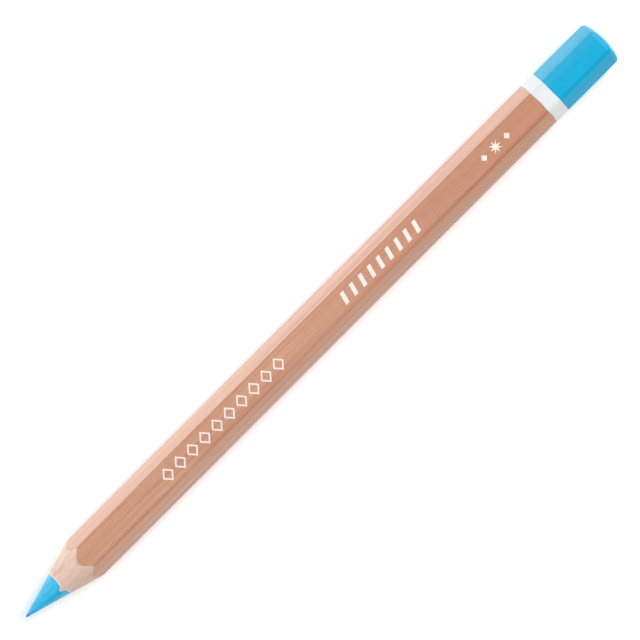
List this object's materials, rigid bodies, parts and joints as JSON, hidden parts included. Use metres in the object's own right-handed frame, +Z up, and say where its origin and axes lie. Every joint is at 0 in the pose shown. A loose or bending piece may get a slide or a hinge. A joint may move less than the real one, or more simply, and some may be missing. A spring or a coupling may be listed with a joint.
{
  "type": "jumbo coloured pencil",
  "caption": "Jumbo hexagonal wood-cased coloured pencil with a thick light-blue core, sharpened, varnished natural barrel, white ring and light-blue dipped end, lying on a flat.",
  "frame": {"origin": "on the surface that the pencil rests on, under the middle of its length", "axes": "+X along the pencil from the sharpened point to the dipped end, +Z up out of the top flat, flats facing up and down, seam edges towards +Y and -Y"},
  "size_m": [0.175, 0.0108, 0.0097],
  "materials": {
    "cedar": "raw, cut by a sharpener on the cone",
    "blue_core": "waxy pigment core, slight sheen",
    "glue": "dried wood glue",
    "varnish": "clear semi-gloss varnish over cedar, shown in the wood's colour",
    "white_lacquer": "white semi-gloss dip lacquer",
    "blue_lacquer": "light-blue gloss dip lacquer",
    "stamping_foil": "warm white hot-stamped pigment foil"
  },
  "bodies": {
    "root": {"upper_slat": "cedar", "lower_slat": "cedar", "core": "blue_core", "core_glue": "glue", "left_seam_glue": "glue", "right_seam_glue": "glue", "clear_varnish": "varnish", "white_undercoat": "white_lacquer", "blue_dip": "blue_lacquer", "stamped_lozenges": "stamping_foil", "stamped_strokes": "stamping_foil", "stamped_star": "stamping_foil"}
  },
  "joints": []
}
